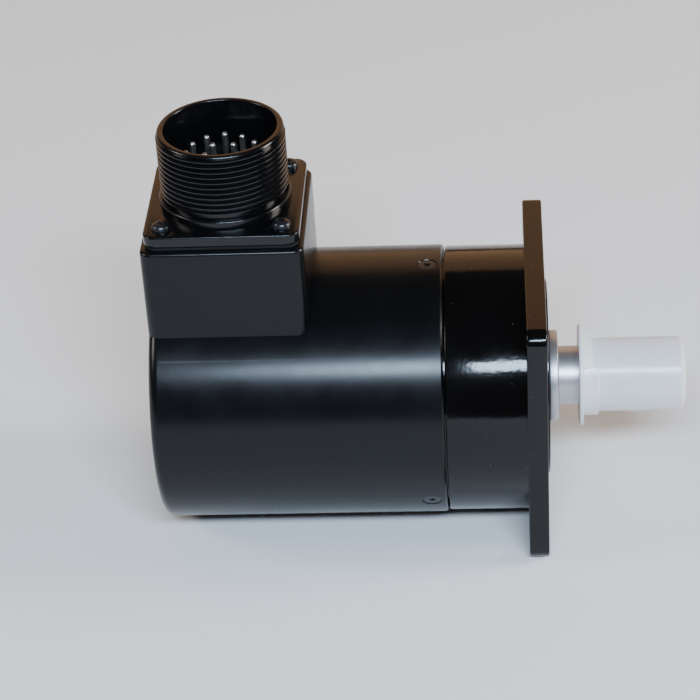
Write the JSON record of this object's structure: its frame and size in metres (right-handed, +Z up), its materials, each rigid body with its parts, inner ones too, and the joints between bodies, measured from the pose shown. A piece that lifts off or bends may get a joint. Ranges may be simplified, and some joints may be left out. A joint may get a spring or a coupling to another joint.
{
  "type": "rotary encoder",
  "caption": "Flange-mounted rotary position encoder: round body, square mounting plate, capped shaft and a threaded connector standing on top.",
  "frame": {"origin": "centre of the mounting face, on the shaft axis", "axes": "+X along the shaft to its free end, +Z up through the connector"},
  "size_m": [0.1333, 0.0686, 0.1091],
  "materials": {
    "enamel": "gloss",
    "cover_plastic": "satin",
    "seal_rubber": "matte",
    "dark_steel": "satin",
    "shell_finish": "gloss",
    "insert_plastic": "matte",
    "spring_steel": "satin",
    "pin_plating": "polished",
    "black_screw": "satin",
    "turned_steel": "satin",
    "bearing_steel": "polished",
    "cage_brass": "satin",
    "hub_aluminium": "satin",
    "disk_glass": "clear",
    "led_clear": "gloss",
    "board_laminate": "satin",
    "component_black": "matte",
    "wire_sheath": "satin",
    "cap_polyethylene": "satin"
  },
  "bodies": {
    "housing": {"flange_housing": "enamel", "rear_cover": "cover_plastic", "cover_seal": "seal_rubber", "cover_screws": "dark_steel", "connector_gasket": "seal_rubber", "connector_shell": "shell_finish", "connector_insert": "insert_plastic", "insert_retaining_ring": "spring_steel", "connector_pins": "pin_plating", "connector_screws": "black_screw", "shaft_seal": "seal_rubber", "front_bearing_outer": "bearing_steel", "rear_bearing_outer": "bearing_steel", "bearing_spacer": "turned_steel", "preload_washer": "spring_steel", "bearing_retaining_ring": "spring_steel", "led_holder": "insert_plastic", "led_emitter": "led_clear", "index_mask": "disk_glass", "sensor_holder": "insert_plastic", "main_board": "board_laminate", "board_standoffs": "cage_brass", "board_screws": "spring_steel", "board_parts": "component_black", "wire_harness": "wire_sheath"},
    "rotor": {"shaft": "turned_steel", "slinger_collar": "turned_steel", "front_bearing_inner": "bearing_steel", "rear_bearing_inner": "bearing_steel", "disk_hub": "hub_aluminium", "code_disk": "disk_glass", "disk_clamp": "hub_aluminium", "disk_clamp_screws": "dark_steel"},
    "front_ball_set": {"front_bearing_balls": "bearing_steel", "front_bearing_cage": "cage_brass"},
    "rear_ball_set": {"rear_bearing_balls": "bearing_steel", "rear_bearing_cage": "cage_brass"},
    "cap": {"shaft_cap": "cap_polyethylene"}
  },
  "joints": [
    {"name": "shaft_spin", "type": "hinge", "parent": "housing", "child": "rotor", "pos_m": [0, 0, 0], "axis": [1, 0, 0], "continuous": true},
    {"name": "front_balls_spin", "type": "hinge", "parent": "housing", "child": "front_ball_set", "pos_m": [-0.0105, 0, 0], "axis": [1, 0, 0], "continuous": true},
    {"name": "rear_balls_spin", "type": "hinge", "parent": "housing", "child": "rear_ball_set", "pos_m": [-0.0295, 0, 0], "axis": [1, 0, 0], "continuous": true},
    {"name": "cap_pull", "type": "slide", "parent": "rotor", "child": "cap", "axis": [1, 0, 0], "range_m": [0, 0.026]}
  ],
  "couplings": [
    {"joint": "front_balls_spin", "follows": "shaft_spin", "ratio": 0.3987},
    {"joint": "rear_balls_spin", "follows": "shaft_spin", "ratio": 0.3987}
  ]
}
